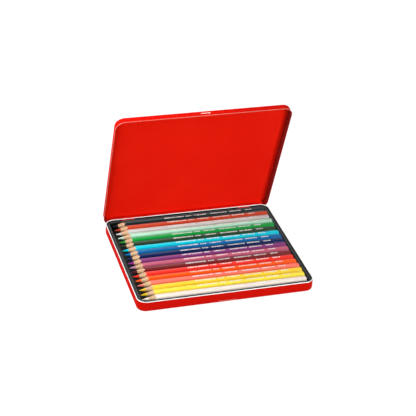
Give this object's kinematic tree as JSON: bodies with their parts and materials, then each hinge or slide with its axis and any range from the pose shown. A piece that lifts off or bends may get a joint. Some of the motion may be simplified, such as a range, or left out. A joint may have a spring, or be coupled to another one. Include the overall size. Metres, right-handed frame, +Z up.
{
  "type": "watercolor pencil set",
  "caption": "Flat hinged tinplate box whose formed tray holds a row of sharpened hexagonal watercolor pencils, with the lid standing open.",
  "frame": {"origin": "middle of the flat underside of the base", "axes": "+Z up, the pencils lie along X with their points towards -X, the lid hinges at the back, +Y"},
  "size_m": [0.1906, 0.1666, 0.1599],
  "materials": {
    "red_tinplate": "gloss red lacquer on thin tinplate, bare tin at the rolled rim",
    "tray_plastic": "black formed polystyrene sheet, satin",
    "hinge_wire": "drawn steel wire",
    "black_lacquer": "black gloss lacquer on cedar, bare wood on the sharpened cone",
    "black_core": "black pigment core, waxy satin",
    "rust_lacquer": "rust gloss lacquer on cedar, bare wood on the sharpened cone",
    "rust_core": "rust pigment core, waxy satin",
    "silver_grey_lacquer": "silver grey gloss lacquer on cedar, bare wood on the sharpened cone",
    "silver_grey_core": "silver grey pigment core, waxy satin",
    "mint_lacquer": "mint gloss lacquer on cedar, bare wood on the sharpened cone",
    "mint_core": "mint pigment core, waxy satin",
    "green_lacquer": "green gloss lacquer on cedar, bare wood on the sharpened cone",
    "green_core": "green pigment core, waxy satin",
    "dark_green_lacquer": "dark green gloss lacquer on cedar, bare wood on the sharpened cone",
    "dark_green_core": "dark green pigment core, waxy satin",
    "turquoise_lacquer": "turquoise gloss lacquer on cedar, bare wood on the sharpened cone",
    "turquoise_core": "turquoise pigment core, waxy satin",
    "blue_lacquer": "blue gloss lacquer on cedar, bare wood on the sharpened cone",
    "blue_core": "blue pigment core, waxy satin",
    "navy_lacquer": "navy gloss lacquer on cedar, bare wood on the sharpened cone",
    "navy_core": "navy pigment core, waxy satin",
    "purple_lacquer": "purple gloss lacquer on cedar, bare wood on the sharpened cone",
    "purple_core": "purple pigment core, waxy satin",
    "mauve_lacquer": "mauve gloss lacquer on cedar, bare wood on the sharpened cone",
    "mauve_core": "mauve pigment core, waxy satin",
    "burgundy_lacquer": "burgundy gloss lacquer on cedar, bare wood on the sharpened cone",
    "burgundy_core": "burgundy pigment core, waxy satin",
    "scarlet_lacquer": "scarlet gloss lacquer on cedar, bare wood on the sharpened cone",
    "scarlet_core": "scarlet pigment core, waxy satin",
    "orange_lacquer": "orange gloss lacquer on cedar, bare wood on the sharpened cone",
    "orange_core": "orange pigment core, waxy satin",
    "salmon_lacquer": "salmon gloss lacquer on cedar, bare wood on the sharpened cone",
    "salmon_core": "salmon pigment core, waxy satin",
    "golden_yellow_lacquer": "golden yellow gloss lacquer on cedar, bare wood on the sharpened cone",
    "golden_yellow_core": "golden yellow pigment core, waxy satin",
    "lemon_yellow_lacquer": "lemon yellow gloss lacquer on cedar, bare wood on the sharpened cone",
    "lemon_yellow_core": "lemon yellow pigment core, waxy satin",
    "white_lacquer": "white gloss lacquer on cedar, bare wood on the sharpened cone",
    "white_core": "white pigment core, waxy satin"
  },
  "bodies": {
    "base": {"base_pan": "red_tinplate", "hinge_pin_left": "hinge_wire", "hinge_pin_right": "hinge_wire"},
    "lid": {"lid": "red_tinplate"},
    "tray": {"tray": "tray_plastic"},
    "pencil_01_black": {"pencil_01_black_casing": "black_lacquer", "pencil_01_black_core": "black_core"},
    "pencil_02_rust": {"pencil_02_rust_casing": "rust_lacquer", "pencil_02_rust_core": "rust_core"},
    "pencil_03_silver_grey": {"pencil_03_silver_grey_casing": "silver_grey_lacquer", "pencil_03_silver_grey_core": "silver_grey_core"},
    "pencil_04_mint": {"pencil_04_mint_casing": "mint_lacquer", "pencil_04_mint_core": "mint_core"},
    "pencil_05_green": {"pencil_05_green_casing": "green_lacquer", "pencil_05_green_core": "green_core"},
    "pencil_06_dark_green": {"pencil_06_dark_green_casing": "dark_green_lacquer", "pencil_06_dark_green_core": "dark_green_core"},
    "pencil_07_turquoise": {"pencil_07_turquoise_casing": "turquoise_lacquer", "pencil_07_turquoise_core": "turquoise_core"},
    "pencil_08_blue": {"pencil_08_blue_casing": "blue_lacquer", "pencil_08_blue_core": "blue_core"},
    "pencil_09_navy": {"pencil_09_navy_casing": "navy_lacquer", "pencil_09_navy_core": "navy_core"},
    "pencil_10_purple": {"pencil_10_purple_casing": "purple_lacquer", "pencil_10_purple_core": "purple_core"},
    "pencil_11_mauve": {"pencil_11_mauve_casing": "mauve_lacquer", "pencil_11_mauve_core": "mauve_core"},
    "pencil_12_burgundy": {"pencil_12_burgundy_casing": "burgundy_lacquer", "pencil_12_burgundy_core": "burgundy_core"},
    "pencil_13_scarlet": {"pencil_13_scarlet_casing": "scarlet_lacquer", "pencil_13_scarlet_core": "scarlet_core"},
    "pencil_14_orange": {"pencil_14_orange_casing": "orange_lacquer", "pencil_14_orange_core": "orange_core"},
    "pencil_15_salmon": {"pencil_15_salmon_casing": "salmon_lacquer", "pencil_15_salmon_core": "salmon_core"},
    "pencil_16_golden_yellow": {"pencil_16_golden_yellow_casing": "golden_yellow_lacquer", "pencil_16_golden_yellow_core": "golden_yellow_core"},
    "pencil_17_lemon_yellow": {"pencil_17_lemon_yellow_casing": "lemon_yellow_lacquer", "pencil_17_lemon_yellow_core": "lemon_yellow_core"},
    "pencil_18_white": {"pencil_18_white_casing": "white_lacquer", "pencil_18_white_core": "white_core"}
  },
  "joints": [
    {"name": "lid_hinge", "type": "hinge", "parent": "base", "child": "lid", "pos_m": [0, 0.0807, 0.00585], "axis": [-1, 0, 0], "range_deg": [-71.2, 38.8]},
    {"name": "tray_lift", "type": "slide", "parent": "base", "child": "tray", "axis": [0, 0, 1], "range_m": [0, 0.014]},
    {"name": "pencil_01_black_lift", "type": "slide", "parent": "tray", "child": "pencil_01_black", "axis": [0, 0, 1], "range_m": [0, 0.02]},
    {"name": "pencil_02_rust_lift", "type": "slide", "parent": "tray", "child": "pencil_02_rust", "axis": [0, 0, 1], "range_m": [0, 0.02]},
    {"name": "pencil_03_silver_grey_lift", "type": "slide", "parent": "tray", "child": "pencil_03_silver_grey", "axis": [0, 0, 1], "range_m": [0, 0.02]},
    {"name": "pencil_04_mint_lift", "type": "slide", "parent": "tray", "child": "pencil_04_mint", "axis": [0, 0, 1], "range_m": [0, 0.02]},
    {"name": "pencil_05_green_lift", "type": "slide", "parent": "tray", "child": "pencil_05_green", "axis": [0, 0, 1], "range_m": [0, 0.02]},
    {"name": "pencil_06_dark_green_lift", "type": "slide", "parent": "tray", "child": "pencil_06_dark_green", "axis": [0, 0, 1], "range_m": [0, 0.02]},
    {"name": "pencil_07_turquoise_lift", "type": "slide", "parent": "tray", "child": "pencil_07_turquoise", "axis": [0, 0, 1], "range_m": [0, 0.02]},
    {"name": "pencil_08_blue_lift", "type": "slide", "parent": "tray", "child": "pencil_08_blue", "axis": [0, 0, 1], "range_m": [0, 0.02]},
    {"name": "pencil_09_navy_lift", "type": "slide", "parent": "tray", "child": "pencil_09_navy", "axis": [0, 0, 1], "range_m": [0, 0.02]},
    {"name": "pencil_10_purple_lift", "type": "slide", "parent": "tray", "child": "pencil_10_purple", "axis": [0, 0, 1], "range_m": [0, 0.02]},
    {"name": "pencil_11_mauve_lift", "type": "slide", "parent": "tray", "child": "pencil_11_mauve", "axis": [0, 0, 1], "range_m": [0, 0.02]},
    {"name": "pencil_12_burgundy_lift", "type": "slide", "parent": "tray", "child": "pencil_12_burgundy", "axis": [0, 0, 1], "range_m": [0, 0.02]},
    {"name": "pencil_13_scarlet_lift", "type": "slide", "parent": "tray", "child": "pencil_13_scarlet", "axis": [0, 0, 1], "range_m": [0, 0.02]},
    {"name": "pencil_14_orange_lift", "type": "slide", "parent": "tray", "child": "pencil_14_orange", "axis": [0, 0, 1], "range_m": [0, 0.02]},
    {"name": "pencil_15_salmon_lift", "type": "slide", "parent": "tray", "child": "pencil_15_salmon", "axis": [0, 0, 1], "range_m": [0, 0.02]},
    {"name": "pencil_16_golden_yellow_lift", "type": "slide", "parent": "tray", "child": "pencil_16_golden_yellow", "axis": [0, 0, 1], "range_m": [0, 0.02]},
    {"name": "pencil_17_lemon_yellow_lift", "type": "slide", "parent": "tray", "child": "pencil_17_lemon_yellow", "axis": [0, 0, 1], "range_m": [0, 0.02]},
    {"name": "pencil_18_white_lift", "type": "slide", "parent": "tray", "child": "pencil_18_white", "axis": [0, 0, 1], "range_m": [0, 0.02]}
  ]
}
